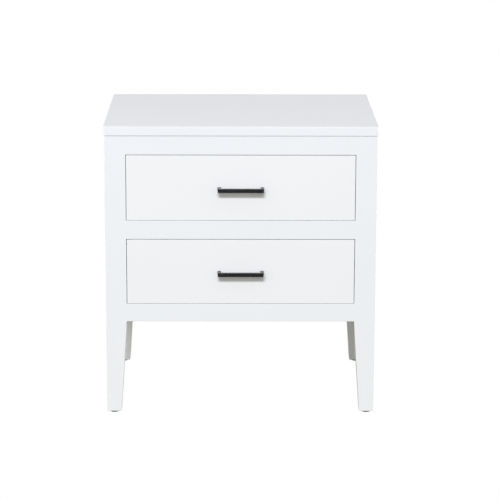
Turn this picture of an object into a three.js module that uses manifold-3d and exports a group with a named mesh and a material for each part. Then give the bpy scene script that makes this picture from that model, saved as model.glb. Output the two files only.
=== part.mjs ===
// Two-drawer nightstand: a painted post-and-rail case, dovetailed drawer boxes and
// full-extension ball-bearing slides.
//
// Millimetres. X runs across the width (left is -X), the front faces -Y and Z is up. The origin
// is on the floor, under the middle of the overall box with the handles included.

import * as THREE from 'three';
import { mergeVertices } from 'three/addons/utils/BufferGeometryUtils.js';
import Module from 'manifold-3d';

const wasm = await Module();
wasm.setup();

// --- Driving dimensions ---------------------------------------------------------------------

const topWidth = 600;
const topDepth = 450;
const fullHeight = 650;

const topThickness = 20;
const topCornerRadius = 6;
const topArris = 1;
const topOverhang = 2;

const legSize = 46;
const footSize = 32;
const legArris = 1;
const glideHeight = 4;
const glideRadius = 10;
const glideProfile = [[0, 0], [0.85, 0], [1, 0.3], [1, 0.75], [0.9, 1], [0, 1]];
const stubSize = 24;
const stubLength = 10;

const apronHeight = 212;
const railThickness = 22;
const railArris = 0.5;
const backRailThickness = 20;
const backInset = 6;
const tenonLength = 20;
const tenonThickness = 8;
const tenonShoulder = 6;

const sidePanelThickness = 16;
const sidePanelInset = 4;
const sidePanelHousing = 8;
const backPanelThickness = 5;
const backPanelLap = 10;
const backPanelMargin = 4;
const bottomPanelThickness = 6;
const bottomPanelRise = 10;
const bottomPanelHousing = 8;

const openingHeight = 147;
const lowerOpening = 252;
const upperOpening = 440.5;

const frontGap = 1.1;
const frontSettle = 0.3;
const frontRecess = 1;
const frontThickness = 20;
const frontCornerRadius = 1.2;
const frontArris = 0.8;

const handleSpacing = 96;
const handleReach = 23;
const handleDrop = 2.5;
const handleHeight = 9;
const handleBar = 6;
const handleOverhang = 2.5;
const handlePost = 6.5;
const handleFlare = 1;
const handleFlareHeight = 5;
const handleFillet = 3;
const handleCorner = 1.5;
const handleArris = 0.75;
const screwRadius = 2;
const screwBite = 8;
const screwHeadRadius = 4.5;
const screwHeadHeight = 2.5;

const boxWall = 12;
const boxHeight = 120;
const boxDepth = 360;
const boxRise = 15;
const floorThickness = 6;
const floorRise = 8;
const floorHousing = 5.5;
const tailCount = 4;
const tailRootHalf = 7.5;
const tailSlope = 1 / 6;

const slideThickness = 12.5;
const slideLength = 350;
const slideSetback = 2.5;
const slideRise = 45;
const slideSheet = 1.4;
const slideMountHeight = 60;
const ballRadius = 1.75;
const ballDepth = 6.6;
const outerBallRise = 18.95;
const innerBallRise = 13.45;
const middleWeb = 2.7;
const drawerFlange = 5.6;
const cageLength = 150;
const cageSheet = 0.6;
const outerCageWeb = 1.75;
const innerCageWeb = 4.4;
const cageArm = 7.9;
const ballsPerArm = 3;

// Clearance round a tenon, tail or panel in its socket, and how far a cut runs out past a face.
const slack = 0.3;
const runOut = 1;

// --- Places worked out from them ------------------------------------------------------------

const sideX = topWidth / 2 - topOverhang;
const legInnerX = sideX - legSize;
const sidePanelOuterX = sideX - sidePanelInset;
const sidePanelInnerX = sidePanelOuterX - sidePanelThickness;
const handleProud = handleReach - frontRecess - topOverhang;
const topY = [(handleProud - topDepth) / 2, (handleProud + topDepth) / 2];
const frontY = topY[0] + topOverhang;
const backY = topY[1] - topOverhang;
const drawerY = [frontY + frontRecess, frontY + frontRecess + frontThickness];
const frontLegY = frontY + legSize;
const backLegY = backY - legSize;
const frontRailY = frontY + railThickness;
const backRailY = [backY - backInset - backRailThickness, backY - backInset];
const topZ = fullHeight - topThickness;
const bottomPanelZ = apronHeight + bottomPanelRise;
const backPanelZ = [apronHeight + backPanelMargin, topZ - backPanelMargin];

const frontRails = {
  bottom: [apronHeight, lowerOpening],
  middle: [lowerOpening + openingHeight, upperOpening],
  top: [upperOpening + openingHeight, topZ],
};
const backRails = {
  bottom: [apronHeight, lowerOpening],
  top: [upperOpening + openingHeight, topZ],
};
const drawers = { lower: lowerOpening, upper: upperOpening };
const sides = { left: -1, right: 1 };
const ends = { front: -1, back: 1 };

const boxX = legInnerX - slideThickness;
const boxInnerX = boxX - boxWall;
const boxY = [drawerY[1], drawerY[1] + boxDepth];
const boxInnerY = [boxY[0] + boxWall, boxY[1] - boxWall];
const slideY = [boxY[0] + slideSetback, boxY[0] + slideSetback + slideLength];
const cageY = [(slideY[0] + slideY[1] - cageLength) / 2, (slideY[0] + slideY[1] + cageLength) / 2];
const ballPitch = cageLength / ballsPerArm;
const raceRadius = ballRadius + slack;

// --- Finishes -------------------------------------------------------------------------------

const whitePaint = new THREE.MeshStandardMaterial({ color: 0xeef0f1, roughness: 0.45 });
const birch = new THREE.MeshStandardMaterial({ color: 0xd8bf97, roughness: 0.6 });
const hardboard = new THREE.MeshStandardMaterial({ color: 0xe6e7e6, roughness: 0.7 });
const blackMetal = new THREE.MeshStandardMaterial({ color: 0x2a2b2e, roughness: 0.4, metalness: 0.7 });
const zincSteel = new THREE.MeshStandardMaterial({ color: 0xb4b9be, roughness: 0.35, metalness: 1 });
const darkPlastic = new THREE.MeshStandardMaterial({ color: 0x3a3836, roughness: 0.6 });

// --- Solids ---------------------------------------------------------------------------------

// Turns a closed geometry into a solid that can be joined and cut.
function solid(geometry) {
  geometry.deleteAttribute('normal');
  geometry.deleteAttribute('uv');
  const merged = mergeVertices(geometry);
  const corners = merged.index.array;
  const kept = [];
  for (let i = 0; i < corners.length; i += 3) {
    const [a, b, c] = corners.slice(i, i + 3);
    if (a !== b && b !== c && c !== a) kept.push(a, b, c);
  }
  return new wasm.Manifold(new wasm.Mesh({
    numProp: 3,
    vertProperties: merged.attributes.position.array,
    triVerts: Uint32Array.from(kept),
  }));
}

function geometryOf(shape) {
  const { vertProperties, triVerts } = shape.getMesh();
  const geometry = new THREE.BufferGeometry();
  geometry.setAttribute('position', new THREE.BufferAttribute(vertProperties, 3));
  geometry.setIndex(new THREE.BufferAttribute(triVerts, 1));
  return geometry;
}

// A block from its lowest to its highest place along each axis.
function block(x, y, z) {
  const geometry = new THREE.BoxGeometry(x[1] - x[0], y[1] - y[0], z[1] - z[0]);
  geometry.translate((x[0] + x[1]) / 2, (y[0] + y[1]) / 2, (z[0] + z[1]) / 2);
  return solid(geometry);
}

// Extrudes an outline along an axis. Along X its own axes are Y and Z, along Y they are X and Z,
// and along Z they are X and Y. An arris eases the edges round both ends.
function extrude(outline, axis, [low, high], { arris = 0, curveSegments = 3, steps = 1 } = {}) {
  const geometry = new THREE.ExtrudeGeometry(outline, {
    depth: high - low - 2 * arris,
    bevelEnabled: arris > 0,
    bevelThickness: arris,
    bevelSize: arris,
    bevelOffset: -arris,
    bevelSegments: 2,
    curveSegments,
    steps,
  });
  const along = {
    X: [[0, 1, 0], [0, 0, 1], [1, 0, 0], [low + arris, 0, 0]],
    Y: [[1, 0, 0], [0, 0, 1], [0, -1, 0], [0, high - arris, 0]],
    Z: [[1, 0, 0], [0, 1, 0], [0, 0, 1], [0, 0, low + arris]],
  };
  const [across, up, forward, place] = along[axis].map((v) => new THREE.Vector3(...v));
  geometry.applyMatrix4(new THREE.Matrix4().makeBasis(across, up, forward).setPosition(place));
  return geometry;
}

function outlineOf(points) {
  return new THREE.Shape(points.map(([x, y]) => new THREE.Vector2(x, y)));
}

function roundedRectangle([left, right], [low, high], radius) {
  const quarter = Math.PI / 2;
  return new THREE.Shape()
    .moveTo(left + radius, low)
    .lineTo(right - radius, low)
    .absarc(right - radius, low + radius, radius, -quarter, 0)
    .lineTo(right, high - radius)
    .absarc(right - radius, high - radius, radius, 0, quarter)
    .lineTo(left + radius, high)
    .absarc(left + radius, high - radius, radius, quarter, 2 * quarter)
    .lineTo(left, low + radius)
    .absarc(left + radius, low + radius, radius, 2 * quarter, 3 * quarter);
}

// A round bar along Y.
function rod(x, z, radius, [low, high], segments = 12) {
  const geometry = new THREE.CylinderGeometry(radius, radius, high - low, segments);
  geometry.translate(x, (low + high) / 2, z);
  return solid(geometry);
}

// The stretch from a to b on the given side of the middle plane, lowest place first.
function span(side, a, b) {
  return side > 0 ? [a, b] : [-b, -a];
}

function grown([low, high], by) {
  return [low - by, high + by];
}

const nightstand = new THREE.Group();

function place(name, geometry, material) {
  const mesh = new THREE.Mesh(geometry, material);
  mesh.name = name;
  nightstand.add(mesh);
}

// --- Case -----------------------------------------------------------------------------------

function railTenon(side, railY, [low, high], by = 0) {
  const middle = (railY[0] + railY[1]) / 2;
  return block(
    span(side, legInnerX - by, legInnerX + tenonLength + by),
    grown([middle - tenonThickness / 2, middle + tenonThickness / 2], by),
    grown([low + tenonShoulder, high - tenonShoulder], by),
  );
}

function rail(railY, railZ) {
  const section = roundedRectangle(railY, railZ, railArris);
  return solid(extrude(section, 'X', [-legInnerX, legInnerX]))
    .add(railTenon(-1, railY, railZ))
    .add(railTenon(1, railY, railZ))
    .subtract(bottomPanelSocket());
}

function legStub(side, end, by = 0) {
  const middleX = sideX - legSize / 2;
  const middleY = (end < 0 ? frontY : backY) - end * legSize / 2;
  return block(
    span(side, middleX - stubSize / 2 - by, middleX + stubSize / 2 + by),
    [middleY - stubSize / 2 - by, middleY + stubSize / 2 + by],
    [topZ - by, topZ + stubLength + by],
  );
}

// A square post whose two inner faces taper below the rails. It is drawn out in two steps: the
// middle ring of corners goes to the start of the taper and the lowest ring closes in.
function legBlank(side, end) {
  const outerX = side * sideX;
  const outerY = end < 0 ? frontY : backY;
  const plan = roundedRectangle(
    span(side, legInnerX, sideX),
    end < 0 ? [frontY, frontLegY] : [backLegY, backY],
    legArris,
  );
  const geometry = extrude(plan, 'Z', [glideHeight, topZ], { steps: 2 });
  const places = geometry.attributes.position;
  for (let i = 0; i < places.count; i += 1) {
    const z = places.getZ(i);
    if (z === glideHeight) {
      const closing = footSize / legSize;
      places.setX(i, outerX + (places.getX(i) - outerX) * closing);
      places.setY(i, outerY + (places.getY(i) - outerY) * closing);
    } else if (z < topZ) {
      places.setZ(i, apronHeight);
    }
  }
  return solid(geometry);
}

function leg(side, end) {
  const rails = end < 0 ? frontRails : backRails;
  const railY = end < 0 ? [frontY, frontRailY] : backRailY;
  let shape = legBlank(side, end).add(legStub(side, end)).subtract(sidePanelSocket(side));
  for (const railZ of Object.values(rails)) shape = shape.subtract(railTenon(side, railY, railZ, slack));
  if (end > 0) shape = shape.subtract(backPanelSocket());
  return shape;
}

// The panel's outer face bears on the outer wall of its groove.
function sidePanelSocket(side) {
  return block(
    span(side, sidePanelInnerX - slack, sidePanelOuterX),
    [frontLegY - sidePanelHousing - slack, backLegY + sidePanelHousing + slack],
    [apronHeight, topZ + runOut],
  );
}

function sidePanel(side) {
  return block(
    span(side, sidePanelInnerX, sidePanelOuterX),
    [frontLegY - sidePanelHousing, backLegY + sidePanelHousing],
    [apronHeight, topZ],
  ).subtract(bottomPanelSocket());
}

function backPanel() {
  const reach = legInnerX + backPanelLap;
  return block([-reach, reach], [backRailY[1], backRailY[1] + backPanelThickness], backPanelZ);
}

function backPanelSocket() {
  const reach = legInnerX + backPanelLap + slack;
  return block([-reach, reach], [backRailY[1], backY + runOut], grown(backPanelZ, slack));
}

// Notched round the legs, and housed in the bottom rails and the side panels.
function bottomPanelOutline(by) {
  const wideX = sidePanelInnerX + bottomPanelHousing / 2 + by;
  const narrowX = legInnerX - slack + by;
  const wideY = [frontLegY + slack - by, backLegY - slack + by];
  const longY = [frontRailY - bottomPanelHousing - by, backRailY[0] + bottomPanelHousing + by];
  const half = [[narrowX, longY[0]], [narrowX, wideY[0]], [wideX, wideY[0]],
    [wideX, wideY[1]], [narrowX, wideY[1]], [narrowX, longY[1]]];
  const otherHalf = half.map(([x, y]) => [-x, y]).reverse();
  return outlineOf([...half, ...otherHalf]);
}

function bottomPanel() {
  return extrude(bottomPanelOutline(0), 'Z', [bottomPanelZ, bottomPanelZ + bottomPanelThickness]);
}

function bottomPanelSocket() {
  const height = [bottomPanelZ, bottomPanelZ + bottomPanelThickness + slack];
  return solid(extrude(bottomPanelOutline(slack), 'Z', height));
}

function topPanel() {
  const plan = roundedRectangle([-topWidth / 2, topWidth / 2], topY, topCornerRadius);
  let shape = solid(extrude(plan, 'Z', [topZ, fullHeight], { arris: topArris, curveSegments: 5 }));
  for (const side of Object.values(sides)) {
    for (const end of Object.values(ends)) shape = shape.subtract(legStub(side, end, slack));
  }
  return shape;
}

function slideMount(side, opening) {
  const middle = opening + boxRise + slideRise;
  return block(
    span(side, legInnerX, sidePanelInnerX),
    [frontLegY, backLegY],
    [middle - slideMountHeight / 2, middle + slideMountHeight / 2],
  );
}

function footGlide(side, end) {
  const profile = glideProfile.map(([r, z]) => new THREE.Vector2(r * glideRadius, z * glideHeight));
  const geometry = new THREE.LatheGeometry(profile, 16);
  geometry.rotateX(Math.PI / 2);
  geometry.translate(
    side * (sideX - footSize / 2),
    (end < 0 ? frontY : backY) - end * footSize / 2,
    0,
  );
  return geometryOf(solid(geometry));
}

// --- Drawer boxes ---------------------------------------------------------------------------

// One row of dovetails at a corner of the box, on the side board. Grown by the slack and run
// past both faces, it cuts the sockets between the pins of the board it meets.
function tails(side, end, boxZ, { by = 0, overrun = 0 } = {}) {
  const root = end < 0 ? boxInnerY[0] : boxInnerY[1];
  const tip = boxWall + overrun;
  const pitch = boxHeight / tailCount;
  const x = span(side, boxInnerX - by, boxX + overrun);
  let row;
  for (let i = 0; i < tailCount; i += 1) {
    const middle = boxZ + pitch * (i + 0.5);
    const rootHalf = tailRootHalf - tailSlope * overrun + by;
    const tipHalf = tailRootHalf + tailSlope * tip + by;
    const outline = outlineOf([
      [root - end * overrun, middle - rootHalf],
      [root + end * tip, middle - tipHalf],
      [root + end * tip, middle + tipHalf],
      [root - end * overrun, middle + rootHalf],
    ]);
    const tail = solid(extrude(outline, 'X', x));
    row = row ? row.add(tail) : tail;
  }
  return row;
}

// The board rests in the lower face of its groove.
function floorSocket(boxZ) {
  const low = boxZ + floorRise;
  const reach = boxInnerX + floorHousing + slack;
  return block([-reach, reach], grown(boxInnerY, floorHousing + slack), [low, low + floorThickness + slack]);
}

function boxFloor(boxZ) {
  const low = boxZ + floorRise;
  const reach = boxInnerX + floorHousing;
  return block([-reach, reach], grown(boxInnerY, floorHousing), [low, low + floorThickness]);
}

function boxSide(side, boxZ) {
  return block(span(side, boxInnerX, boxX), boxInnerY, [boxZ, boxZ + boxHeight])
    .add(tails(side, ends.front, boxZ))
    .add(tails(side, ends.back, boxZ))
    .subtract(floorSocket(boxZ));
}

function boxEnd(end, boxZ) {
  const y = end < 0 ? [boxY[0], boxInnerY[0]] : [boxInnerY[1], boxY[1]];
  return block([-boxX, boxX], y, [boxZ, boxZ + boxHeight])
    .subtract(tails(sides.left, end, boxZ, { by: slack, overrun: runOut }))
    .subtract(tails(sides.right, end, boxZ, { by: slack, overrun: runOut }))
    .subtract(floorSocket(boxZ));
}

function screwHoles(handleZ, y) {
  const hole = (side) => rod(side * handleSpacing / 2, handleZ, screwRadius + slack, y);
  return hole(sides.left).add(hole(sides.right));
}

// The front sits a little low in its opening, so the gap over it is wider than the one under it.
function drawerFront(opening, handleZ) {
  const below = opening + frontGap - frontSettle;
  const above = opening + openingHeight - frontGap - frontSettle;
  const face = roundedRectangle(
    [frontGap - legInnerX, legInnerX - frontGap],
    [below, above],
    frontCornerRadius,
  );
  return solid(extrude(face, 'Y', drawerY, { arris: frontArris }))
    .subtract(screwHoles(handleZ, grown(drawerY, runOut)));
}

// --- Handles --------------------------------------------------------------------------------

// A bow handle in plan: a flat bar on two posts that flare out where they meet the drawer.
function handle(handleZ) {
  const end = handleSpacing / 2 + handleOverhang;
  const inner = end - handlePost;
  const foot = drawerY[0];
  const flare = foot - handleFlareHeight;
  const bend = foot - handleFlareHeight / 5;
  const face = foot - handleReach;
  const under = face + handleBar;
  const plan = new THREE.Shape()
    .moveTo(-end - handleFlare, foot)
    .quadraticCurveTo(-end, bend, -end, flare)
    .lineTo(-end, face + handleCorner)
    .quadraticCurveTo(-end, face, -end + handleCorner, face)
    .lineTo(end - handleCorner, face)
    .quadraticCurveTo(end, face, end, face + handleCorner)
    .lineTo(end, flare)
    .quadraticCurveTo(end, bend, end + handleFlare, foot)
    .lineTo(inner - handleFlare, foot)
    .quadraticCurveTo(inner, bend, inner, flare)
    .lineTo(inner, under + handleFillet)
    .quadraticCurveTo(inner, under, inner - handleFillet, under)
    .lineTo(-inner + handleFillet, under)
    .quadraticCurveTo(-inner, under, -inner, under + handleFillet)
    .lineTo(-inner, flare)
    .quadraticCurveTo(-inner, bend, -inner + handleFlare, foot);
  const height = [handleZ - handleHeight / 2, handleZ + handleHeight / 2];
  return solid(extrude(plan, 'Z', height, { arris: handleArris }))
    .subtract(screwHoles(handleZ, [foot - screwBite - slack, foot + runOut]));
}

function handleScrew(side, handleZ) {
  const x = side * handleSpacing / 2;
  return rod(x, handleZ, screwRadius, [drawerY[0] - screwBite, boxInnerY[0] + runOut])
    .add(rod(x, handleZ, screwHeadRadius, [boxInnerY[0], boxInnerY[0] + screwHeadHeight], 16));
}

// --- Slides ---------------------------------------------------------------------------------

// Profiles are drawn as depth from the side of the case, and height from the slide's middle.
function alongSlide(outline, side, slideZ, [low, high]) {
  const geometry = new THREE.ExtrudeGeometry(outline, {
    depth: high - low,
    bevelEnabled: false,
    curveSegments: 4,
  });
  geometry.applyMatrix4(new THREE.Matrix4().makeBasis(
    new THREE.Vector3(-side, 0, 0),
    new THREE.Vector3(0, 0, 1),
    new THREE.Vector3(0, side, 0),
  ).setPosition(side * legInnerX, side > 0 ? low : high, slideZ));
  return solid(geometry);
}

// A channel of sheet steel whose flanges curl over the balls.
function curledChannel(web, ballRise) {
  const rim = ballRise + raceRadius + slideSheet;
  const race = ballRise + raceRadius;
  const quarter = Math.PI / 2;
  return new THREE.Shape()
    .moveTo(web, -rim)
    .lineTo(ballDepth, -rim)
    .absarc(ballDepth, -ballRise, raceRadius + slideSheet, -quarter, 0)
    .lineTo(ballDepth + raceRadius, -ballRise)
    .absarc(ballDepth, -ballRise, raceRadius, 0, -quarter, true)
    .lineTo(web + slideSheet, -race)
    .lineTo(web + slideSheet, race)
    .lineTo(ballDepth, race)
    .absarc(ballDepth, ballRise, raceRadius, quarter, 0, true)
    .lineTo(ballDepth + raceRadius + slideSheet, ballRise)
    .absarc(ballDepth, ballRise, raceRadius + slideSheet, 0, quarter)
    .lineTo(web, rim);
}

function plainChannel([webFace, flangeTip], rim, sheet) {
  const inside = webFace + Math.sign(flangeTip - webFace) * sheet;
  return outlineOf([
    [webFace, -rim], [flangeTip, -rim], [flangeTip, sheet - rim], [inside, sheet - rim],
    [inside, rim - sheet], [flangeTip, rim - sheet], [flangeTip, rim], [webFace, rim],
  ]);
}

function cabinetMember(side, slideZ) {
  return alongSlide(curledChannel(0, outerBallRise), side, slideZ, slideY);
}

function middleMember(side, slideZ) {
  return alongSlide(curledChannel(middleWeb, innerBallRise), side, slideZ, slideY);
}

function drawerMember(side, slideZ) {
  const rim = innerBallRise - raceRadius;
  const section = plainChannel([slideThickness, drawerFlange], rim, slideSheet);
  return alongSlide(section, side, slideZ, slideY);
}

// A strip bent round the member inside it, with the balls held in its two arms.
function ballCage(side, slideZ, web, ballRise) {
  const section = plainChannel([web, cageArm], ballRise + cageSheet / 2, cageSheet);
  let cage = alongSlide(section, side, slideZ, cageY);
  for (let i = 0; i < ballsPerArm; i += 1) {
    for (const arm of [-1, 1]) {
      const ball = new THREE.SphereGeometry(ballRadius, 6, 4);
      ball.translate(
        side * (legInnerX - ballDepth),
        cageY[0] + ballPitch * (i + 0.5),
        slideZ + arm * ballRise,
      );
      cage = cage.add(solid(ball));
    }
  }
  return cage;
}

// --- Assembly -------------------------------------------------------------------------------

place('top_panel', geometryOf(topPanel()), whitePaint);
for (const [name, z] of Object.entries(frontRails)) {
  place(`rail_front_${name}`, geometryOf(rail([frontY, frontRailY], z)), whitePaint);
}
for (const [name, z] of Object.entries(backRails)) {
  place(`rail_back_${name}`, geometryOf(rail(backRailY, z)), whitePaint);
}
for (const [sideName, side] of Object.entries(sides)) {
  place(`side_panel_${sideName}`, geometryOf(sidePanel(side)), whitePaint);
  for (const [endName, end] of Object.entries(ends)) {
    place(`leg_${endName}_${sideName}`, geometryOf(leg(side, end)), whitePaint);
    place(`foot_glide_${endName}_${sideName}`, footGlide(side, end), darkPlastic);
  }
}
place('back_panel', geometryOf(backPanel()), hardboard);
place('bottom_panel', geometryOf(solid(bottomPanel())), hardboard);

for (const [level, opening] of Object.entries(drawers)) {
  const boxZ = opening + boxRise;
  const slideZ = boxZ + slideRise;
  const handleZ = opening + openingHeight / 2 - handleDrop;
  const holesY = grown([boxY[0], boxInnerY[0]], runOut);
  const frontBoard = boxEnd(ends.front, boxZ).subtract(screwHoles(handleZ, holesY));
  place(`${level}_drawer_front`, geometryOf(drawerFront(opening, handleZ)), whitePaint);
  place(`${level}_drawer_box_front`, geometryOf(frontBoard), birch);
  place(`${level}_drawer_box_back`, geometryOf(boxEnd(ends.back, boxZ)), birch);
  place(`${level}_drawer_floor`, geometryOf(boxFloor(boxZ)), birch);
  place(`${level}_handle`, geometryOf(handle(handleZ)), blackMetal);
  for (const [sideName, side] of Object.entries(sides)) {
    place(`${level}_drawer_side_${sideName}`, geometryOf(boxSide(side, boxZ)), birch);
    place(`${level}_handle_screw_${sideName}`, geometryOf(handleScrew(side, handleZ)), zincSteel);
    place(`${level}_slide_mount_${sideName}`, geometryOf(slideMount(side, opening)), birch);
    place(`${level}_slide_cabinet_${sideName}`, geometryOf(cabinetMember(side, slideZ)), zincSteel);
    place(`${level}_slide_middle_${sideName}`, geometryOf(middleMember(side, slideZ)), zincSteel);
    place(`${level}_slide_drawer_${sideName}`, geometryOf(drawerMember(side, slideZ)), zincSteel);
    const outerCage = ballCage(side, slideZ, outerCageWeb, outerBallRise);
    const innerCage = ballCage(side, slideZ, innerCageWeb, innerBallRise);
    place(`${level}_outer_ball_cage_${sideName}`, geometryOf(outerCage), zincSteel);
    place(`${level}_inner_ball_cage_${sideName}`, geometryOf(innerCage), zincSteel);
  }
}

export default nightstand;
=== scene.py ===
import math

import bmesh
import bpy
from mathutils import Euler, Matrix, Vector


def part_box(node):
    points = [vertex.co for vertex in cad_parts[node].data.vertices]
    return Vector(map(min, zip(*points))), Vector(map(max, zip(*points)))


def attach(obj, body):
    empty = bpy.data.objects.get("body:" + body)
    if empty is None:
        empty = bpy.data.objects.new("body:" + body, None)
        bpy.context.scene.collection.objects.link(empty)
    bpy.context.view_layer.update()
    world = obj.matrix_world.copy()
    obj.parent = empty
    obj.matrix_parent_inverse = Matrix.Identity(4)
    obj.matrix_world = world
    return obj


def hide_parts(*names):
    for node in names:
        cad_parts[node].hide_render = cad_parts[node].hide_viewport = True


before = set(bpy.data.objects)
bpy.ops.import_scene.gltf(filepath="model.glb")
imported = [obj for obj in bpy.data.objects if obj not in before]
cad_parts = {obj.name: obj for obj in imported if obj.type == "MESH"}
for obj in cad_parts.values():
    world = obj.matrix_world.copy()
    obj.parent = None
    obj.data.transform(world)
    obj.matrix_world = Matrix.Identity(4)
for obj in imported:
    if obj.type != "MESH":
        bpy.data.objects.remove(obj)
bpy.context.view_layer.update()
tiny = 1e-5  # places closer than this are the same place
squareOn = 0.9  # a face looks along an axis when this much of its normal does
levels = ("lower", "upper")
hands = {"left": -1, "right": 1}
ends = ("front", "back")
railLevels = {"front": ("bottom", "middle", "top"), "back": ("bottom", "top")}


def low(node):
    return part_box(node)[0]


def high(node):
    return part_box(node)[1]


def middle(node):
    return (low(node) + high(node)) / 2


# places on the case that several pieces share
underTopZ = low("top_panel").z
innerX = low("leg_front_right").x
outerX = high("leg_front_right").x
apronZ = low("rail_front_bottom").z

cameraLook = {
    "sideways": -0.0177,
    "inFront": 4.6247,  # from the front edge of the top
    "height": 1.4569,
    "turn": 0.474,
    "tilt": 13.164,
    "roll": 0.167,
    "lens": 155.34,
    "sensor": 36,
}


def addCamera(look):
    frontY = low("top_panel").y - look["inFront"]
    bpy.ops.object.camera_add(location=(look["sideways"], frontY, look["height"]))
    camera = bpy.context.object
    aim = Euler((math.radians(90 - look["tilt"]), 0, math.radians(-look["turn"])))
    roll = Matrix.Rotation(math.radians(look["roll"]), 3, "Z")
    camera.rotation_euler = (aim.to_matrix() @ roll).to_euler()
    camera.data.lens = look["lens"]
    camera.data.sensor_width = look["sensor"]
    camera.data.clip_end = 100
    bpy.context.scene.camera = camera


addCamera(cameraLook)
print("camera placed")


class Wire:  # a socket that takes part in sums
    def __init__(self, finish, socket):
        self.finish = finish
        self.socket = socket

    def math(self, operation, other):
        return self.finish.node("ShaderNodeMath", {"operation": operation}, {0: self, 1: other})

    def __add__(self, other):
        return self.math("ADD", other)

    def __mul__(self, other):
        return self.math("MULTIPLY", other)


class Finish:  # one material and its nodes
    def __init__(self, name, **fixed):
        self.material = bpy.data.materials.new(name)
        self.material.use_nodes = True
        self.tree = self.material.node_tree
        self.shader = self.tree.nodes["Principled BSDF"]
        for socket, value in fixed.items():
            self.shader.inputs[socket.replace("_", " ")].default_value = value
        self.place = self.node("ShaderNodeTexCoord", output="Object")

    def node(self, kind, settings=None, inputs=None, output=0):
        made = self.tree.nodes.new(kind)
        for key, value in (settings or {}).items():
            setattr(made, key, value)
        for key, value in (inputs or {}).items():
            if isinstance(value, Wire):
                self.tree.links.new(value.socket, made.inputs[key])
            else:
                made.inputs[key].default_value = value
        return Wire(self, made.outputs[output])

    # a noise with one scale, or with a scale for each axis
    def noise(self, scale, detail=2.0, roughness=0.5, distortion=0.0):
        place = self.place
        if isinstance(scale, tuple):
            place = self.node("ShaderNodeMapping", {}, {"Vector": place, "Scale": scale})
            scale = 1
        inputs = {"Vector": place, "Scale": scale, "Detail": detail}
        inputs |= {"Roughness": roughness, "Distortion": distortion}
        return self.node("ShaderNodeTexNoise", {}, inputs)

    # 0 up to the first value, 1 from the second
    def step(self, value, start, end):
        inputs = {"Value": value, "From Min": start, "From Max": end}
        return self.node("ShaderNodeMapRange", {"clamp": True}, inputs)

    # sockets 6 and 7 of a Mix node are its colours, and output 2 is theirs
    def blend(self, factor, first, second):
        inputs = {0: factor, 6: first, 7: second}
        return self.node("ShaderNodeMix", {"data_type": "RGBA", "clamp_factor": True}, inputs, output=2)

    def relief(self, height, look):
        inputs = {"Strength": look["strength"], "Distance": look["depth"], "Height": height}
        return self.node("ShaderNodeBump", {}, inputs, output="Normal")

    def drive(self, **links):
        for socket, wire in links.items():
            self.tree.links.new(wire.socket, self.shader.inputs[socket.replace("_", " ")])
        return self.material


# a pattern's scale along each axis when the grain lies along one of them
def grainScales(axis, scales):
    return tuple(scales["along"] if axis == letter else scales["across"] for letter in "xyz")


paintLook = {
    "cloudScale": 6,
    "peelScale": 700,
    "fibreScale": {"along": 14, "across": 420},
    "cloudInColour": 0.8,
    "fibreInColour": 0.2,
    "sheen": 0.35,
    "cloudInSheen": 0.10,
    "peelInSheen": 0.04,
    "peelInRelief": 0.7,
    "fibreInRelief": 0.5,
    "strength": 0.5,
    "depth": 0.00002,
}
casePaint = {"thin": (0.838, 0.866, 0.876, 1), "full": (0.854, 0.880, 0.889, 1)}
facePaint = {"thin": (0.862, 0.877, 0.876, 1), "full": (0.878, 0.891, 0.889, 1)}


def satinPaint(name, axis, coat):
    look = paintLook
    finish = Finish(name)
    cloud = finish.noise(look["cloudScale"], detail=3)
    peel = finish.noise(look["peelScale"], detail=1.5)
    fibre = finish.noise(grainScales(axis, look["fibreScale"]), detail=3)
    cover = cloud * look["cloudInColour"] + fibre * look["fibreInColour"]
    colour = finish.blend(cover, coat["thin"], coat["full"])
    sheen = cloud * look["cloudInSheen"] + peel * look["peelInSheen"] + look["sheen"]
    relief = finish.relief(peel * look["peelInRelief"] + fibre * look["fibreInRelief"], look)
    return finish.drive(Base_Color=colour, Roughness=sheen, Normal=relief)


birchLook = {
    "early": (0.74, 0.575, 0.385, 1),
    "late": (0.625, 0.455, 0.28, 1),
    "pore": (0.43, 0.29, 0.165, 1),
    "endGrain": (0.53, 0.375, 0.225, 1),
    "ringScale": {"along": 2.2, "across": 55},
    "fibreScale": {"along": 16, "across": 800},
    "lateFrom": (0.35, 0.65),
    "poresFrom": (0.58, 0.72),
    "poreDepth": 0.35,
    "sheen": 0.34,
    "ringsInSheen": 0.15,
    "fibreInSheen": 0.12,
    "ringsInRelief": 0.2,
    "fibreInRelief": 0.8,
    "strength": 0.4,
    "depth": 0.00004,
}


def birchWood(name, axis, endOn=False):
    look = birchLook
    finish = Finish(name, Coat_Weight=0.15, Coat_Roughness=0.35)
    rings = finish.noise(grainScales(axis, look["ringScale"]), detail=4, roughness=0.55, distortion=0.8)
    fibre = finish.noise(grainScales(axis, look["fibreScale"]))
    early = look["endGrain"] if endOn else look["early"]
    wood = finish.blend(finish.step(rings, *look["lateFrom"]), early, look["late"])
    pores = finish.step(fibre, *look["poresFrom"]) * look["poreDepth"]
    colour = finish.blend(pores, wood, look["pore"])
    sheen = rings * look["ringsInSheen"] + fibre * look["fibreInSheen"] + look["sheen"]
    relief = finish.relief(fibre * look["fibreInRelief"] + rings * look["ringsInRelief"], look)
    return finish.drive(Base_Color=colour, Roughness=sheen, Normal=relief)


boardLook = {
    "light": (0.80, 0.808, 0.81, 1),
    "dark": (0.74, 0.748, 0.75, 1),
    "fibreScale": 240,
    "cloudScale": 5,
    "fibresInColour": 0.5,
    "cloudInColour": 0.5,
    "sheen": 0.5,
    "fibresInSheen": 0.2,
    "strength": 0.5,
    "depth": 0.00006,
}


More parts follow.
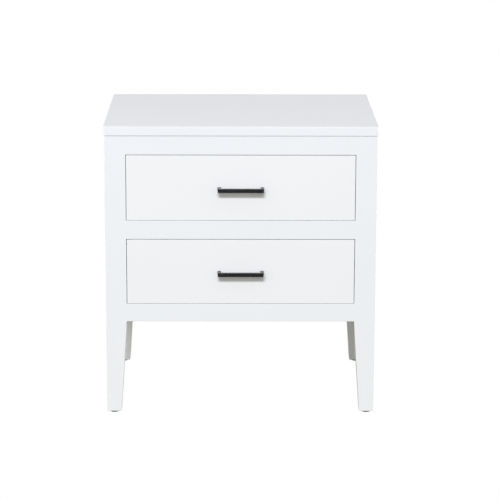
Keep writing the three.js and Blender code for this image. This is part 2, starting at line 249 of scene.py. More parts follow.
def coatedBoard(name):
    look = boardLook
    finish = Finish(name)
    fibres = finish.noise(look["fibreScale"], detail=4, roughness=0.65, distortion=0.6)
    cloud = finish.noise(look["cloudScale"])
    coat = fibres * look["fibresInColour"] + cloud * look["cloudInColour"]
    colour = finish.blend(coat, look["dark"], look["light"])
    sheen = fibres * look["fibresInSheen"] + look["sheen"]
    return finish.drive(Base_Color=colour, Roughness=sheen, Normal=finish.relief(fibres, look))


blackLook = {
    "deep": (0.008, 0.008, 0.010, 1),
    "worn": (0.018, 0.018, 0.020, 1),
    "grainScale": 2600,
    "cloudScale": 60,
    "cloudInWear": 0.6,
    "grainInWear": 0.4,
    "wornFrom": (0.4, 0.7),
    "sheen": 0.19,
    "cloudInSheen": 0.12,
    "grainInSheen": 0.06,
    "strength": 0.35,
    "depth": 0.00002,
}


def satinBlack(name):
    look = blackLook
    finish = Finish(name, Specular_IOR_Level=0.5)
    grain = finish.noise(look["grainScale"])
    cloud = finish.noise(look["cloudScale"], detail=3)
    wear = cloud * look["cloudInWear"] + grain * look["grainInWear"]
    colour = finish.blend(finish.step(wear, *look["wornFrom"]), look["deep"], look["worn"])
    sheen = cloud * look["cloudInSheen"] + grain * look["grainInSheen"] + look["sheen"]
    return finish.drive(Base_Color=colour, Roughness=sheen, Normal=finish.relief(grain, look))


zincLook = {
    "bright": (0.58, 0.60, 0.62, 1),
    "dull": (0.42, 0.435, 0.45, 1),
    "oil": (0.35, 0.34, 0.31, 1),
    "rolledScale": {"along": 8, "across": 1400},
    "cloudScale": 90,
    "rolledInColour": 0.6,
    "cloudInColour": 0.4,
    "oilFrom": (0.58, 0.75),
    "oilDepth": 0.35,
    "sheen": 0.24,
    "rolledInSheen": 0.16,
    "cloudInSheen": 0.14,
    "strength": 0.3,
    "depth": 0.00001,
}


def zincSteel(name, axis):
    look = zincLook
    finish = Finish(name, Metallic=1.0)
    rolled = finish.noise(grainScales(axis, look["rolledScale"]), detail=3)
    cloud = finish.noise(look["cloudScale"], detail=3)
    plating = rolled * look["rolledInColour"] + cloud * look["cloudInColour"]
    steel = finish.blend(plating, look["dull"], look["bright"])
    oil = finish.step(cloud, *look["oilFrom"]) * look["oilDepth"]
    colour = finish.blend(oil, steel, look["oil"])
    sheen = rolled * look["rolledInSheen"] + cloud * look["cloudInSheen"] + look["sheen"]
    return finish.drive(Base_Color=colour, Roughness=sheen, Normal=finish.relief(rolled, look))


nylonLook = {
    "deep": (0.085, 0.083, 0.08, 1),
    "worn": (0.135, 0.132, 0.127, 1),
    "grainScale": 1500,
    "cloudScale": 120,
    "cloudInColour": 0.7,
    "grainInColour": 0.3,
    "sheen": 0.45,
    "grainInSheen": 0.15,
    "strength": 0.4,
    "depth": 0.00003,
}


def mouldedNylon(name):
    look = nylonLook
    finish = Finish(name)
    grain = finish.noise(look["grainScale"])
    cloud = finish.noise(look["cloudScale"])
    scuff = cloud * look["cloudInColour"] + grain * look["grainInColour"]
    colour = finish.blend(scuff, look["deep"], look["worn"])
    sheen = grain * look["grainInSheen"] + look["sheen"]
    return finish.drive(Base_Color=colour, Roughness=sheen, Normal=finish.relief(grain, look))


paint = {axis: satinPaint(f"satin_white_paint_{axis}", axis, casePaint) for axis in "xz"}
frontPaint = satinPaint("satin_white_drawer_paint", "x", facePaint)
birch = {axis: birchWood(f"lacquered_birch_{axis}", axis) for axis in "xy"}
birchEnd = {axis: birchWood(f"birch_end_grain_{axis}", axis, endOn=True) for axis in "xy"}
board = coatedBoard("white_coated_board")
black = satinBlack("satin_black_coating")
zinc = zincSteel("zinc_plated_steel", "y")
nylon = mouldedNylon("dark_nylon")
print("finishes mixed")


def only(piece):
    bpy.ops.object.select_all(action="DESELECT")
    piece.select_set(True)
    bpy.context.view_layer.objects.active = piece


def settle(name):
    piece = bpy.context.object
    piece.name = name
    bpy.ops.object.transform_apply(location=True, rotation=True, scale=True)
    return piece


def addBox(name, lowest, highest):
    bpy.ops.object.select_all(action="DESELECT")
    bpy.ops.mesh.primitive_cube_add(size=1, location=[(a + b) / 2 for a, b in zip(lowest, highest)])
    bpy.context.object.scale = [b - a for a, b in zip(lowest, highest)]
    return settle(name)


# a round bar between two points
def addRod(name, start, end, radius, sides=24):
    start, end = Vector(start), Vector(end)
    bpy.ops.object.select_all(action="DESELECT")
    turn = (end - start).to_track_quat("Z", "Y").to_euler()
    depth = (end - start).length
    bpy.ops.mesh.primitive_cylinder_add(
        vertices=sides, radius=radius, depth=depth, location=(start + end) / 2, rotation=turn
    )
    return settle(name)


# goes into edit mode with the parts that the rule likes selected
def pick(piece, kind, rule):
    only(piece)
    bpy.ops.object.mode_set(mode="EDIT")
    bpy.ops.mesh.select_mode(type=kind)
    bpy.ops.mesh.select_all(action="DESELECT")
    shell = bmesh.from_edit_mesh(piece.data)
    if kind == "VERT":
        chosen = [v for v in shell.verts if rule(v.co)]
    elif kind == "EDGE":
        chosen = [e for e in shell.edges if rule(e.verts[0].co, e.verts[1].co)]
    else:
        chosen = [f for f in shell.faces if rule(f.calc_center_median(), f.normal)]
    for part in chosen:
        part.select_set(True)
    bmesh.update_edit_mesh(piece.data)


def leave():
    bpy.ops.object.mode_set(mode="OBJECT")


def near(a, b):
    return abs(a - b) < tiny


# new edges all round where a plane meets the piece
def sliceAcross(piece, place, normal):
    pick(piece, "FACE", lambda centre, facing: True)
    bpy.ops.mesh.bisect(plane_co=place, plane_no=normal)
    leave()


def ease(piece, rule, width, segments=3):
    pick(piece, "EDGE", rule)
    bpy.ops.mesh.bevel(offset=width, offset_type="OFFSET", segments=segments, affect="EDGES")
    leave()


# eases every edge sharper than the angle
def easeAll(piece, width, segments=2, angle=30):
    only(piece)
    soften = piece.modifiers.new("soften", "BEVEL")
    soften.width = width
    soften.segments = segments
    soften.limit_method = "ANGLE"
    soften.angle_limit = math.radians(angle)
    bpy.ops.object.modifier_apply(modifier=soften.name)


faceWeight = 60  # above 50, large faces count for more in the shading


# curves shaded smooth and flats left flat
def polish(piece, angle=40):
    only(piece)
    bpy.ops.object.shade_smooth_by_angle(angle=math.radians(angle))
    level = piece.modifiers.new("level", "WEIGHTED_NORMAL")
    level.keep_sharp = True
    level.weight = faceWeight
    bpy.ops.object.modifier_apply(modifier=level.name)


# takes the cutters' shapes out of a piece and deletes the cutters
def cutOut(piece, cutters):
    for cutter in cutters:
        only(piece)
        cut = piece.modifiers.new("cut", "BOOLEAN")
        cut.operation = "DIFFERENCE"
        cut.solver = "EXACT"
        cut.object = cutter
        bpy.ops.object.modifier_apply(modifier=cut.name)
        bpy.data.objects.remove(cutter)


def put(piece, materials, body, node=None):
    piece.data.materials.clear()
    for material in materials:
        piece.data.materials.append(material)
    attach(piece, body)
    if node:
        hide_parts(node)


flatAngle = 1  # faces that meet at less than this are made one


# a merged copy of a CAD piece with its arrises taken off
def easedCopy(node, name, width, segments=2, angle=30):
    piece = bpy.data.objects.new(name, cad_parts[node].data.copy())
    bpy.context.scene.collection.objects.link(piece)
    only(piece)
    bpy.ops.mesh.customdata_custom_splitnormals_clear()
    bpy.ops.object.mode_set(mode="EDIT")
    bpy.ops.mesh.select_mode(type="VERT")
    bpy.ops.mesh.select_all(action="SELECT")
    bpy.ops.mesh.remove_doubles(threshold=tiny)
    bpy.ops.mesh.dissolve_limited(angle_limit=math.radians(flatAngle))
    bpy.ops.mesh.mark_sharp(clear=True)
    leave()
    easeAll(piece, width, segments, angle)
    polish(piece)
    return piece


def joinAll(name, pieces):
    bpy.ops.object.select_all(action="DESELECT")
    for piece in pieces:
        piece.select_set(True)
    bpy.context.view_layer.objects.active = pieces[0]
    bpy.ops.object.join()
    pieces[0].name = name
    return pieces[0]


# a piece that stands at the first place, and a copy of it at each other place
def repeat(piece, places):
    pieces = [piece]
    for place in places[1:]:
        only(piece)
        bpy.ops.object.duplicate()
        bpy.ops.transform.translate(value=Vector(place) - Vector(places[0]))
        pieces.append(settle(f"{piece.name}_copy"))
    return pieces


jointLook = {"stub": 0.024, "tenon": 0.008, "shoulder": 0.006}  # shared by the top, legs and rails
slack = 0.0003  # round a tenon or a panel in its socket
runOut = 0.001  # how far a cutter starts outside a piece
topLook = {"corner": 0.006, "cornerSegments": 8, "arris": 0.0008, "underArris": 0.0004}


# the sockets in the top for the stubs of the legs
def stubCutters():
    half = jointLook["stub"] / 2 + slack
    for end in ends:
        for hand in hands:
            node = f"leg_{end}_{hand}"
            x, y = middle(node).x, middle(node).y
            lowest = (x - half, y - half, underTopZ - runOut)
            highest = (x + half, y + half, high(node).z + slack)
            yield addBox("cutter", lowest, highest)


def makeTop():
    look = topLook
    piece = addBox("top_board", low("top_panel"), high("top_panel"))
    ease(piece, lambda a, b: near(a.x, b.x) and near(a.y, b.y), look["corner"], look["cornerSegments"])
    ease(piece, lambda a, b: near(a.z, b.z) and a.z > underTopZ + tiny, look["arris"])
    ease(piece, lambda a, b: near(a.z, underTopZ) and near(b.z, underTopZ), look["underArris"])
    cutOut(piece, stubCutters())
    polish(piece)
    put(piece, [paint["x"]], "case", "top_panel")


# the sockets in a leg for the rails' tenons, the side panel and the back panel
def legCutters(end, hand):
    side = hands[hand]
    leg = f"leg_{end}_{hand}"
    for level in railLevels[end]:
        node = f"rail_{end}_{level}"
        reach = sorted((side * (innerX - runOut), side * (high(node).x + slack)))
        half = jointLook["tenon"] / 2 + slack
        shoulder = jointLook["shoulder"] - slack
        lowest = (reach[0], middle(node).y - half, low(node).z + shoulder)
        highest = (reach[1], middle(node).y + half, high(node).z - shoulder)
        yield addBox("cutter", lowest, highest)
    lowest, highest = low(f"side_panel_{hand}"), high(f"side_panel_{hand}")
    wall = (lowest.x - slack, highest.x) if side > 0 else (lowest.x, highest.x + slack)
    if end == "front":
        run = (lowest.y - slack, high(leg).y + runOut)
    else:
        run = (low(leg).y - runOut, highest.y + slack)
    yield addBox("cutter", (wall[0], run[0], apronZ), (wall[1], run[1], underTopZ + runOut))
    if end == "back":
        lowest, highest = low("back_panel"), high("back_panel")
        reach = sorted((side * (innerX - runOut), side * (highest.x + slack)))
        start = (reach[0], lowest.y, lowest.z - slack)
        yield addBox("cutter", start, (reach[1], high(leg).y + runOut, highest.z + slack))


legLook = {"outerArris": 0.0006, "innerArris": 0.0006, "footArris": 0.0012}


# a square post, tapered on its inner faces below the rails, with a stub into the top
def makeLeg(end, hand):
    look = legLook
    node = f"leg_{end}_{hand}"
    glide = middle(f"foot_glide_{end}_{hand}")
    side = hands[hand]
    lowest, highest = low(node), high(node)
    stubRise = highest.z - underTopZ
    size = highest.x - lowest.x
    corner = Vector((side * outerX, lowest.y if end == "front" else highest.y, lowest.z))
    footSize = 2 * abs(corner.x - glide.x)
    piece = addBox(f"post_{end}_{hand}", lowest, (highest.x, highest.y, underTopZ))
    pick(piece, "FACE", lambda centre, facing: facing.z > squareOn)
    bpy.ops.mesh.inset(thickness=(size - jointLook["stub"]) / 2)
    bpy.ops.mesh.extrude_region_move(TRANSFORM_OT_translate={"value": (0, 0, stubRise)})
    leave()
    sliceAcross(piece, (0, 0, apronZ), (0, 0, 1))
    pick(piece, "VERT", lambda place: near(place.z, lowest.z))
    closing = footSize / size
    bpy.ops.transform.resize(value=(closing, closing, 1), center_override=corner)
    leave()

    def onCorner(place):
        return near(place.x, corner.x) and near(place.y, corner.y)

    def innerTaper(a, b):
        upright = abs(a.z - b.z) > (apronZ - lowest.z) / 2 and max(a.z, b.z) < apronZ + tiny
        return upright and all((v - corner).xy.length > footSize / 2 for v in (a, b))

    ease(piece, lambda a, b: near(a.z, lowest.z) and near(b.z, lowest.z), look["footArris"], segments=2)
    ease(piece, lambda a, b: onCorner(a) and onCorner(b), look["outerArris"], segments=4)
    ease(piece, innerTaper, look["innerArris"], segments=2)
    cutOut(piece, legCutters(end, hand))
    polish(piece)
    put(piece, [paint["z"]], "case", node)


# the groove in a bottom rail for the bottom panel
def grooveCutter(node):
    lowest, highest = low("bottom_panel"), high("bottom_panel")
    front = max(lowest.y - slack, low(node).y - runOut)
    back = min(highest.y + slack, high(node).y + runOut)
    return addBox("cutter", (-innerX, front, lowest.z), (innerX, back, highest.z + slack))


railLook = {"arris": 0.0006}


# a board between the legs with a tenon on each end
def makeRail(end, level):
    node = f"rail_{end}_{level}"
    lowest, highest = low(node), high(node)
    reach = highest.x - innerX
    thickness = highest.y - lowest.y
    shoulder = jointLook["shoulder"]
    name = f"crosspiece_{end}_{level}"
    piece = addBox(name, (-innerX, lowest.y, lowest.z), (innerX, highest.y, highest.z))
    for side in hands.values():
        pick(piece, "FACE", lambda centre, facing: facing.x * side > squareOn)
        bpy.ops.mesh.inset(thickness=shoulder)
        narrower = jointLook["tenon"] / (thickness - 2 * shoulder)
        bpy.ops.transform.resize(value=(1, narrower, 1), center_override=middle(node))
        bpy.ops.mesh.extrude_region_move(TRANSFORM_OT_translate={"value": (side * reach, 0, 0)})
        leave()

    def alongFace(a, b):
        onFace = all(near(v.y, lowest.y) or near(v.y, highest.y) for v in (a, b))
        return onFace and near(a.z, b.z) and abs(a.x - b.x) > innerX

    ease(piece, alongFace, railLook["arris"])
    if level == "bottom":
        cutOut(piece, [grooveCutter(node)])
    polish(piece)
    put(piece, [paint["x"]], "case", node)


panelLook = {"sideArris": 0.0004, "thinArris": 0.0003}


def makeSidePanel(hand):
    node = f"side_panel_{hand}"
    piece = easedCopy(node, f"side_board_{hand}", panelLook["sideArris"])
    put(piece, [paint["z"]], "case", node)


def makeThinBoards():
    for part in ("back", "bottom"):
        node = f"{part}_panel"
        piece = easedCopy(node, f"{part}_board", panelLook["thinArris"])
        put(piece, [board], "case", node)


glideLook = {"rim": 0.0008, "sides": 40, "wall": 0.003, "hollow": 0.0012}  # hollow under the foot


def makeGlides():
    look = glideLook
    nodes = [f"foot_glide_{end}_{hand}" for hand in hands for end in ends]
    places = [middle(node) for node in nodes]
    centre = places[0]
    radius = (high(nodes[0]).x - low(nodes[0]).x) / 2
    foot = (centre.x, centre.y, low(nodes[0]).z)
    head = (centre.x, centre.y, high(nodes[0]).z)
    piece = addRod("glide", foot, head, radius, look["sides"])
    pick(piece, "FACE", lambda place, facing: facing.z < -squareOn)
    bpy.ops.mesh.inset(thickness=look["wall"])
    bpy.ops.mesh.inset(thickness=look["rim"])
    bpy.ops.transform.translate(value=(0, 0, look["hollow"]))
    leave()

    def rim(a, b):
        return near(a.z, b.z) and all(near((v - centre).xy.length, radius) for v in (a, b))

    ease(piece, rim, look["rim"])
    polish(piece)
    for glide, node in zip(repeat(piece, places), nodes):
        glide.name = node.removeprefix("foot_")
        put(glide, [nylon], "case", node)


makeTop()
for hand in hands:
    makeSidePanel(hand)
    for end in ends:
        makeLeg(end, hand)
makeGlides()
for end in ends:
    for level in railLevels[end]:
        makeRail(end, level)
makeThinBoards()
print("case made")


faceLook = {"corner": 0.0008, "arris": 0.0008}
boltLook = {"radius": 0.002, "sides": 16}


# holes for the two screws of the lower handle
def boltCutters(frontY, backY):
    radius = boltLook["radius"] + slack
    for hand in hands:
        place = middle(f"lower_handle_screw_{hand}")
        start, end = (place.x, frontY, place.z), (place.x, backY, place.z)
        yield addRod("cutter", start, end, radius, boltLook["sides"])


# the lower face, and a copy of it for the upper drawer
def makeDrawerFaces():
    nodes = [f"{level}_drawer_front" for level in levels]
    lowest, highest = low(nodes[0]), high(nodes[0])
    piece = addBox("drawer_face", lowest, highest)
    ease(piece, lambda a, b: near(a.x, b.x) and near(a.z, b.z), faceLook["corner"], segments=2)
    ease(piece, lambda a, b: near(a.y, b.y), faceLook["arris"])
    cutOut(piece, boltCutters(lowest.y - runOut, highest.y + runOut))
    polish(piece)
    faces = repeat(piece, [middle(node) for node in nodes])
    for level, face, node in zip(levels, faces, nodes):
        face.name = f"{level}_drawer_face"
        put(face, [frontPaint], f"{level}_drawer", node)


endGrainFrom = 0.7  # a face shows end grain when this much of its normal lies along the grain


def showEndGrain(piece, axis):
    index = "xyz".index(axis)
    for face in piece.data.polygons:
        face.material_index = int(abs(face.normal[index]) > endGrainFrom)


boxLook = {
    "arris": 0.0002,
    "grain": {"box_front": "x", "box_back": "x", "side_left": "y", "side_right": "y", "floor": "x"},
}


def makeDrawerBox(level):
    for part, axis in boxLook["grain"].items():
        node = f"{level}_drawer_{part}"
        piece = easedCopy(node, f"{level}_{part}_board", boxLook["arris"], segments=1)
        put(piece, [birch[axis], birchEnd[axis]], f"{level}_drawer", node)
        showEndGrain(piece, axis)


handleLook = {
    "bar": 0.006,  # front to back
    "post": 0.0065,  # side to side
    "flare": 0.001,
    "flareHeight": 0.004,
    "fillet": 0.003,
    "end": 0.0015,
    "arris": 0.0008,
    "arrisAngle": 50,
}


# a bar drawn back into two posts whose feet flare where they meet the drawer
def makeHandles():
    look = handleLook
    nodes = [f"{level}_handle" for level in levels]
    places = [middle(node) for node in nodes]
    lowest, highest = low(nodes[0]), high(nodes[0])
    barEnd = highest.x - look["flare"]
    barBack = lowest.y + look["bar"]
    postInner = barEnd - look["post"]
    piece = addBox("bow_handle", (-barEnd, lowest.y, lowest.z), (barEnd, barBack, highest.z))
    for x in (-postInner, postInner):
        sliceAcross(piece, (x, 0, 0), (1, 0, 0))
    shank = highest.y - barBack - look["flareHeight"]
    pick(piece, "FACE", lambda centre, facing: facing.y > squareOn and abs(centre.x) > postInner)
    bpy.ops.mesh.extrude_region_move(TRANSFORM_OT_translate={"value": (0, shank, 0)})
    bpy.ops.mesh.extrude_region_move(TRANSFORM_OT_translate={"value": (0, look["flareHeight"], 0)})
    leave()
    for side in hands.values():
        pick(piece, "VERT", lambda place: near(place.y, highest.y) and place.x * side > 0)
        wider = 1 + 2 * look["flare"] / look["post"]
        centre = (side * (barEnd + postInner) / 2, highest.y, places[0].z)
        bpy.ops.transform.resize(value=(wider, 1, 1), center_override=centre)
        leave()

    def inCorner(a, b):
        upright = near(a.x, b.x) and near(a.y, b.y)
        return upright and near(abs(a.x), postInner) and near(a.y, barBack)

    def atEnd(a, b):
        return near(a.x, b.x) and near(abs(a.x), barEnd) and near(a.y, lowest.y) and near(b.y, lowest.y)

    ease(piece, inCorner, look["fillet"], segments=5)
    ease(piece, atEnd, look["end"], segments=4)
    easeAll(piece, look["arris"], segments=3, angle=look["arrisAngle"])
    tipY = low("lower_handle_screw_left").y
    cutOut(piece, boltCutters(tipY - slack, highest.y + runOut))
    polish(piece)
    for level, handle, node in zip(levels, repeat(piece, places), nodes):
        handle.name = f"{level}_bow_handle"
        put(handle, [black], f"{level}_drawer", node)


makeDrawerFaces()
for level in levels:
    makeDrawerBox(level)
makeHandles()
print("drawers made")


screwLook = {
    "sides": 24,
    "crown": 0.0009,
    "crownShare": 0.6,  # at most, of the head's height
    "slot": 0.0011,
    "slotReach": 0.0042,
    "reachShare": 0.95,  # at most, of the head's radius
    "slotDepth": 0.0011,
    "depthShare": 0.7,  # at most, of the head's height
    "slotFloor": 0.8,  # against the mouth of the recess
    "tip": 0.004,
    "point": 0.1,  # against the shank
    "smoothAngle": 50,
}


# a pan head with a cross recess, on a shank that runs back from the seat of the head
def addScrew(name, seat, axis, size, pointed=True):
    look = screwLook
    seat, axis = Vector(seat), Vector(axis)
    crown = seat + axis * size["height"]
    crownEase = min(look["crown"], size["height"] * look["crownShare"])
    reach = min(look["slotReach"], size["radius"] * look["reachShare"]) / 2
    across = [way for way in Matrix.Identity(3) if near(axis.dot(way), 0)]
    piece = addRod(name, seat, crown, size["radius"], look["sides"])

    def onCrown(place):
        return near((place - crown).dot(axis), 0)

    ease(piece, lambda a, b: onCrown(a) and onCrown(b), crownEase)
    half = look["slot"] / 2
    for way in across:
        for offset in (-reach, -half, half, reach):
            pick(piece, "FACE", lambda centre, facing: onCrown(centre))
            bpy.ops.mesh.bisect(plane_co=crown + way * offset, plane_no=way)
            leave()

    def inCross(centre, facing):
        a, b = (abs((centre - crown).dot(way)) for way in across)
        return onCrown(centre) and min(a, b) < half and max(a, b) < reach

    pick(piece, "FACE", inCross)
    sink = -axis * min(look["slotDepth"], size["height"] * look["depthShare"])
    bpy.ops.mesh.extrude_region_move(TRANSFORM_OT_translate={"value": sink})
    bpy.ops.transform.resize(value=[look["slotFloor"]] * 3, center_override=crown + sink)
    leave()
    tip = look["tip"] if pointed else 0
    pick(piece, "FACE", lambda centre, facing: facing.dot(axis) < -squareOn)
    bpy.ops.mesh.inset(thickness=size["radius"] - size["shank"])
    bpy.ops.mesh.extrude_region_move(TRANSFORM_OT_translate={"value": -axis * (size["length"] - tip)})
    if pointed:
        end = seat - axis * size["length"]
        bpy.ops.mesh.extrude_region_move(TRANSFORM_OT_translate={"value": -axis * tip})
        bpy.ops.transform.resize(value=[look["point"]] * 3, center_override=end)
    leave()
    return piece


# one screw copied to every seat, all as one piece
def addScrews(name, seats, axis, size):
    screw = addScrew("screw", seats[0], axis, size)
    piece = joinAll(name, repeat(screw, seats))
    polish(piece, screwLook["smoothAngle"])
    return piece


def makeHandleScrews():
    holes = [(level, hand) for level in levels for hand in hands]
    nodes = [f"{level}_handle_screw_{hand}" for level, hand in holes]
    places = [middle(node) for node in nodes]
    lowest, highest = low(nodes[0]), high(nodes[0])
    headY = high("lower_drawer_box_front").y
    size = {
        "radius": (highest.x - lowest.x) / 2,
        "height": highest.y - headY,
        "shank": boltLook["radius"],
        "length": headY - lowest.y,
    }
    piece = addScrew("bolt", (places[0].x, headY, places[0].z), (0, 1, 0), size, pointed=False)
    polish(piece, screwLook["smoothAngle"])
    for (level, hand), bolt, node in zip(holes, repeat(piece, places), nodes):
        bolt.name = f"{level}_handle_bolt_{hand}"
        put(bolt, [zinc], f"{level}_drawer", node)


faceScrewLook = {
    "fromMiddle": (0.085, 0.19),
    "aboveBottom": 0.0352,
    "belowTop": 0.022,
    "radius": 0.0036,
    "height": 0.0018,
    "shank": 0.0018,
    "length": 0.026,
}


# screws through the box hold the face from inside
def makeFaceScrews():
    look = faceScrewLook
    nodes = [f"{level}_drawer_box_front" for level in levels]
    lowest, highest = low(nodes[0]), high(nodes[0])
    heights = (lowest.z + look["aboveBottom"], highest.z - look["belowTop"])
    across = [side * x for x in look["fromMiddle"] for side in hands.values()]
    seats = [(x, highest.y, z) for x in across for z in heights]
    piece = addScrews("face_screws", seats, (0, 1, 0), look)
    for level, screws in zip(levels, repeat(piece, [middle(node) for node in nodes])):
        screws.name = f"{level}_face_screws"
        put(screws, [zinc], f"{level}_drawer")


backScrewLook = {
    "fromEdge": 0.005,
    "fromCorner": 0.02,
    "inRow": 4,
    "inColumn": 3,
    "radius": 0.0032,
    "height": 0.0009,
    "shank": 0.0015,
    "length": 0.018,
}


def makeBackScrews():
    look = backScrewLook
    lowest, highest = low("back_panel"), high("back_panel")
    left, right = lowest.x + look["fromEdge"], highest.x - look["fromEdge"]
    bottom, top = lowest.z + look["fromCorner"], highest.z - look["fromCorner"]
    stepX = (right - left) / (look["inRow"] - 1)
    stepZ = (top - bottom) / (look["inColumn"] + 1)
    rows = [(left + stepX * i, z) for i in range(look["inRow"]) for z in (bottom, top)]
    columns = [(x, bottom + stepZ * (i + 1)) for i in range(look["inColumn"]) for x in (left, right)]
    seats = [(x, highest.y, z) for x, z in rows + columns]
    put(addScrews("back_board_screws", seats, (0, 1, 0), look), [zinc], "case")


makeHandleScrews()
makeFaceScrews()
makeBackScrews()
print("screws made")


slideLook = {
    "sheet": 0.0014,
    "arris": 0.0002,
    "arrisAngle": 50,
    "screwsAt": (0.035, 0.163, 0.291),  # from the front end
    "radius": 0.0038,
    "height": 0.0016,
    "shank": 0.0016,
    "length": 0.0115,
}


def makeSlide(level, hand):
    look = slideLook
    bodies = {
        "cabinet": "case",
        "middle": f"{level}_slide_middle_{hand}_body",
        "drawer": f"{level}_drawer",
    }
    for part, body in bodies.items():
        node = f"{level}_slide_{part}_{hand}"
        name = f"{level}_runner_{part}_{hand}"
        piece = easedCopy(node, name, look["arris"], angle=look["arrisAngle"])
        put(piece, [zinc], body, node)


# screws that hold the drawer members to the boxes
def makeRunnerScrews(hand):
    look = slideLook
    side = hands[hand]
    nodes = [f"{level}_slide_drawer_{hand}" for level in levels]
    lowest, highest = low(nodes[0]), high(nodes[0])
    webX = (lowest.x if side > 0 else highest.x) + side * look["sheet"]
    seats = [(webX, lowest.y + along, middle(nodes[0]).z) for along in look["screwsAt"]]
    piece = addScrews("runner_screws", seats, (side, 0, 0), look)
    for level, screws in zip(levels, repeat(piece, [middle(node) for node in nodes])):
        screws.name = f"{level}_runner_screws_{hand}"
        put(screws, [zinc], f"{level}_drawer")


cageLook = {
    "sheet": 0.0006,
    "bend": 0.0005,
    "ball": 0.00175,  # radius
    "ballDepth": 0.0066,  # from the inner face of the legs
    "balls": 12,
    "smoothAngle": 45,
}


# a bent strip that carries two rows of balls
def makeCages(ring, hand):
    look = cageLook
    side = hands[hand]
    nodes = [f"{level}_{ring}_ball_cage_{hand}" for level in levels]
    places = [middle(node) for node in nodes]
    lowest, highest = low(nodes[0]), high(nodes[0])
    webX = highest.x if side > 0 else lowest.x
    rowX = side * (innerX - look["ballDepth"])
    armX = rowX - side * (look["ball"] - look["sheet"])
    centreZ = places[0].z
    ballRise = highest.z - look["ball"] - centreZ
    rise = ballRise + look["sheet"] / 2
    web = sorted((webX, webX - side * look["sheet"]))
    strip = addBox("strip", (web[0], lowest.y, centreZ - rise), (web[1], highest.y, centreZ + rise))
    armRise = rise - look["sheet"]
    for z in (centreZ - armRise, centreZ + armRise):
        sliceAcross(strip, (0, 0, z), (0, 0, 1))

    def armRoot(centre, facing):
        return facing.x * side < -squareOn and abs(centre.z - centreZ) > armRise

    pick(strip, "FACE", armRoot)
    armLength = abs(webX - armX) - look["sheet"]
    bpy.ops.mesh.extrude_region_move(TRANSFORM_OT_translate={"value": (-side * armLength, 0, 0)})
    leave()

    def outerBend(a, b):
        return all(near(v.x, webX) and near(abs(v.z - centreZ), rise) for v in (a, b))

    ease(strip, outerBend, look["bend"])
    pitch = (highest.y - lowest.y) / look["balls"]
    rows = (centreZ - ballRise, centreZ + ballRise)
    seats = [(rowX, lowest.y + pitch * (i + 0.5), z) for z in rows for i in range(look["balls"])]
    bpy.ops.object.select_all(action="DESELECT")
    bpy.ops.mesh.primitive_ico_sphere_add(subdivisions=2, radius=look["ball"], location=seats[0])
    balls = repeat(settle("ball"), seats)
    piece = joinAll("cage", [strip, *balls])
    polish(piece, look["smoothAngle"])
    for level, cage, node in zip(levels, repeat(piece, places), nodes):
        cage.name = f"{level}_{ring}_cage_{hand}"
        put(cage, [zinc], f"{node}_body", node)


blockLook = {"arris": 0.0008}


def makeMount(level, hand):
    node = f"{level}_slide_mount_{hand}"
    piece = easedCopy(node, f"{level}_runner_block_{hand}", blockLook["arris"])
    put(piece, [birch["y"], birchEnd["y"]], "case", node)
    showEndGrain(piece, "y")


for hand in hands:
    for level in levels:
        makeSlide(level, hand)
        makeMount(level, hand)
    makeRunnerScrews(hand)
    makeCages("outer", hand)
    makeCages("inner", hand)
print("slides made")


stageLook = {
    "seen": (1, 1, 1, 1),  # the plain white that the camera sees
    "floorSize": 30,
    "floorNear": (0.28, 0.256, 0.19, 1),
    "floorFar": (0.17, 0.162, 0.134, 1),
    "floorFade": (0.5, 0.9),  # how far from the middle the near floor reaches
    "sky": (1, 0.97, 0.98, 1),
    "skyPower": 0.569,
}
lamps = {
    "key": {"place": (-0.68, -7.9, 5.8), "size": (3.1, 1.05), "power": 650, "colour": (0.935, 0.941, 1)},
    "side": {"place": (-1.6, -4.9, 2.2), "size": (1.2, 0.9), "power": 21, "colour": (0.9, 1, 1)},
    "left": {"place": (-3.2, 0.6, 0.33), "size": (2.4, 0.6), "power": 36, "colour": (1, 0.99, 0.98)},
    "right": {"place": (3.2, 0.4, 0.33), "size": (2.4, 0.6), "power": 34, "colour": (1, 0.98, 0.97)},
    "rear": {"place": (2.3, 3.7, 0.34), "size": (2.8, 0.5), "power": 84, "colour": (0.99, 0.98, 1)},
}
lampAim = Vector((0, 0, 0.35))


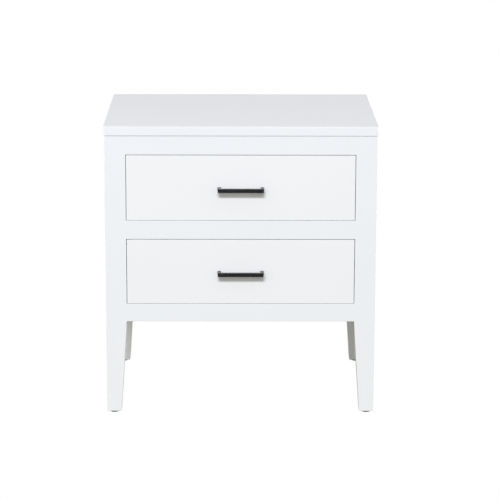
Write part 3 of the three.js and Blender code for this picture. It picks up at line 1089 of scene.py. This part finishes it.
# one shader for the camera's own rays and another for the rays that light the piece
def splitByRay(tree, seen, lit, out):
    rays = tree.nodes.new("ShaderNodeLightPath")
    both = tree.nodes.new("ShaderNodeMixShader")
    tree.links.new(rays.outputs["Is Camera Ray"], both.inputs[0])
    tree.links.new(lit, both.inputs[1])
    tree.links.new(seen, both.inputs[2])
    tree.links.new(both.outputs[0], out.inputs[0])


def glowing(tree, kind, colour, power):
    made = tree.nodes.new(kind)
    made.inputs["Color"].default_value = colour
    made.inputs["Strength"].default_value = power
    return made.outputs[0]


def makeFloor():
    look = stageLook
    bpy.ops.object.select_all(action="DESELECT")
    bpy.ops.mesh.primitive_plane_add(size=look["floorSize"], location=(0, 0, 0))
    floor = settle("floor")
    finish = Finish("pale_floor", Specular_IOR_Level=0)
    length = {"operation": "LENGTH"}
    distance = finish.node("ShaderNodeVectorMath", length, {0: finish.place}, output="Value")
    fade = finish.step(distance, *look["floorFade"])
    finish.drive(Base_Color=finish.blend(fade, look["floorNear"], look["floorFar"]))
    seen = glowing(finish.tree, "ShaderNodeEmission", look["seen"], 1)
    splitByRay(finish.tree, seen, finish.shader.outputs[0], finish.tree.nodes["Material Output"])
    floor.data.materials.append(finish.material)


def makeSky():
    look = stageLook
    world = bpy.data.worlds.new("studio")
    bpy.context.scene.world = world
    world.use_nodes = True
    tree = world.node_tree
    tree.nodes.clear()
    seen = glowing(tree, "ShaderNodeBackground", look["seen"], 1)
    lit = glowing(tree, "ShaderNodeBackground", look["sky"], look["skyPower"])
    splitByRay(tree, seen, lit, tree.nodes.new("ShaderNodeOutputWorld"))


def addLamp(name, look):
    bpy.ops.object.light_add(type="AREA", location=look["place"])
    lamp = bpy.context.object
    lamp.name = name
    lamp.data.shape = "RECTANGLE"
    lamp.data.size, lamp.data.size_y = look["size"]
    lamp.data.energy = look["power"]
    lamp.data.color = look["colour"]
    aim = lampAim - Vector(look["place"])
    lamp.rotation_euler = aim.to_track_quat("-Z", "Y").to_euler()


makeFloor()
makeSky()
for name, look in lamps.items():
    addLamp(name, look)
bpy.context.scene.view_settings.view_transform = "Standard"
print("stage lit")
